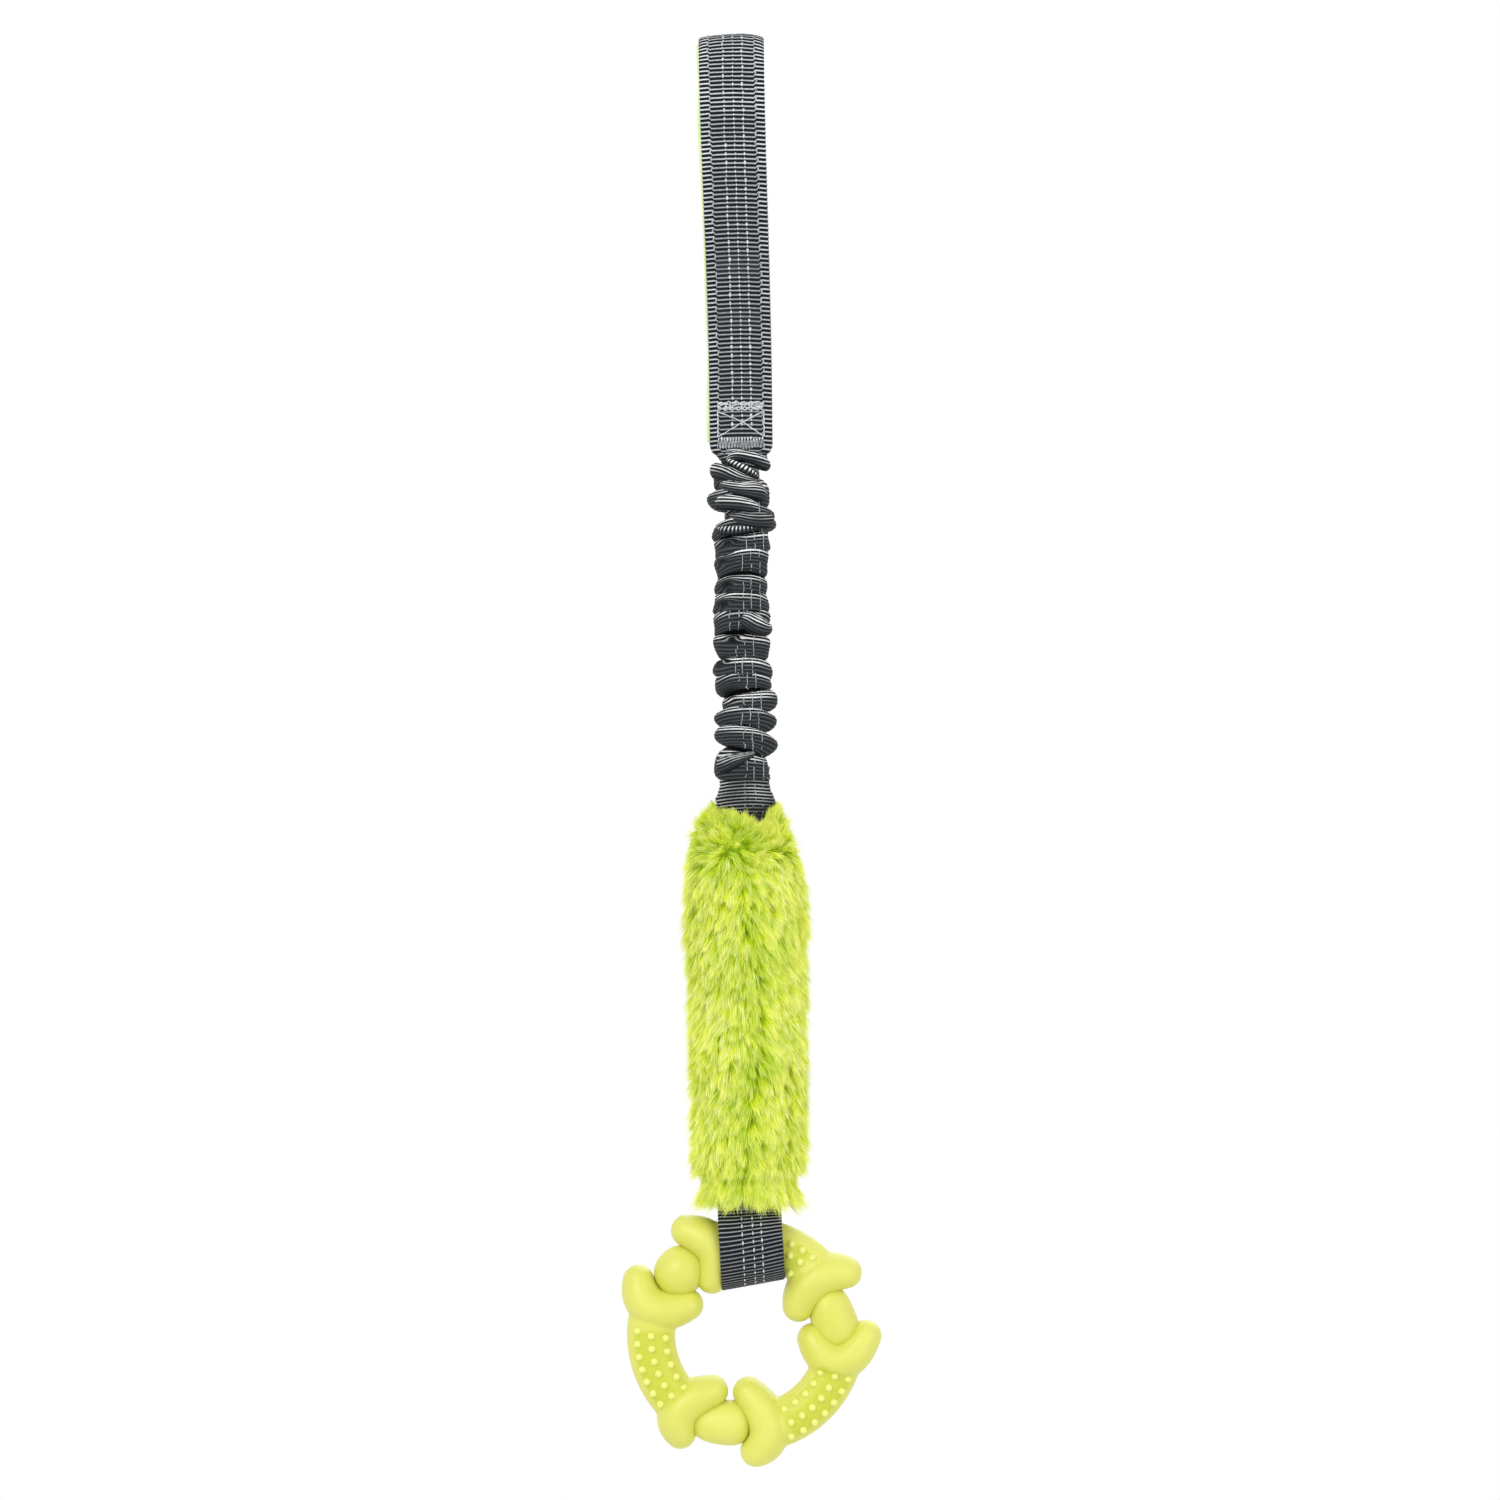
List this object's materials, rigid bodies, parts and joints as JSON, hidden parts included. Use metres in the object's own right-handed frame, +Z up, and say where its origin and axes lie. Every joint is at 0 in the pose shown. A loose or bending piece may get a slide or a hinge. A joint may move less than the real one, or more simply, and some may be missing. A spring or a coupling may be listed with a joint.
{
  "type": "bungee tug toy",
  "caption": "Tug toy with a lined webbing hand loop, a gathered bungee sleeve over elastic cords, a long-pile plush body and a knobbed rubber ring in a webbing loop.",
  "frame": {"origin": "the inside of the top fold of the hand loop, where the hand carries the toy", "axes": "+Z up along the hanging toy, -Y out of the front face of the webbing, +X to the right seen from the front"},
  "size_m": [0.0958, 0.0361, 0.5433],
  "materials": {
    "webbing": "ribbed grey polyester webbing",
    "dark_webbing": "ribbed dark grey webbing",
    "grey_thread": "light grey sewing thread",
    "lime_lining": "soft lime lining",
    "elastic": "rubber cord",
    "plush": "lime long-pile plush",
    "fibre": "loose fibre filling",
    "lime_thread": "lime sewing thread",
    "rubber": "soft matte moulded rubber"
  },
  "bodies": {
    "handle": {"handle_strap": "webbing", "handle_lining": "lime_lining", "lining_stitch_left": "grey_thread", "lining_stitch_right": "grey_thread", "upper_bartack_front": "grey_thread", "upper_bartack_back": "grey_thread", "box_stitch_front": "grey_thread", "box_stitch_back": "grey_thread", "lower_bartack_front": "grey_thread", "lower_bartack_back": "grey_thread", "sleeve_top_tab": "webbing"},
    "bungee_top": {"elastic_anchor_top": "webbing", "anchor_stitch_top": "grey_thread", "bungee_sleeve": "webbing", "elastic_cord_left": "elastic", "elastic_cord_right": "elastic"},
    "bungee_bottom": {"elastic_anchor_bottom": "webbing", "anchor_stitch_bottom": "grey_thread"},
    "fur_body": {"core_strap": "webbing", "fur_cover": "plush", "stuffing_front": "fibre", "stuffing_back": "fibre", "fur_seam_thread": "lime_thread", "fur_top_stitch": "lime_thread", "fur_bottom_stitch": "lime_thread"},
    "ring_loop": {"ring_loop_strap": "dark_webbing", "ring_loop_bartack": "grey_thread"},
    "ring": {"tug_ring": "rubber"}
  },
  "joints": [
    {"name": "handle_flex", "type": "hinge", "parent": "handle", "child": "bungee_top", "pos_m": [0, 0, -0.1566], "axis": [1, 0, 0], "range_deg": [-75, 75]},
    {"name": "bungee_stretch", "type": "slide", "parent": "bungee_top", "child": "bungee_bottom", "axis": [0, 0, -1], "range_m": [0, 0.1], "stiffness_N_per_m": 150, "springref_m": -0.02, "deforming": ["bungee_sleeve", "elastic_cord_left", "elastic_cord_right"]},
    {"name": "fur_flex", "type": "hinge", "parent": "bungee_bottom", "child": "fur_body", "pos_m": [0, 0, -0.2873], "axis": [1, 0, 0], "range_deg": [-60, 60]},
    {"name": "loop_flex", "type": "hinge", "parent": "fur_body", "child": "ring_loop", "pos_m": [0, 0, -0.4363], "axis": [1, 0, 0], "range_deg": [-40, 40]},
    {"name": "ring_swing", "type": "hinge", "parent": "ring_loop", "child": "ring", "pos_m": [0, 0, -0.4545], "axis": [1, 0, 0], "range_deg": [-20, 20]}
  ]
}
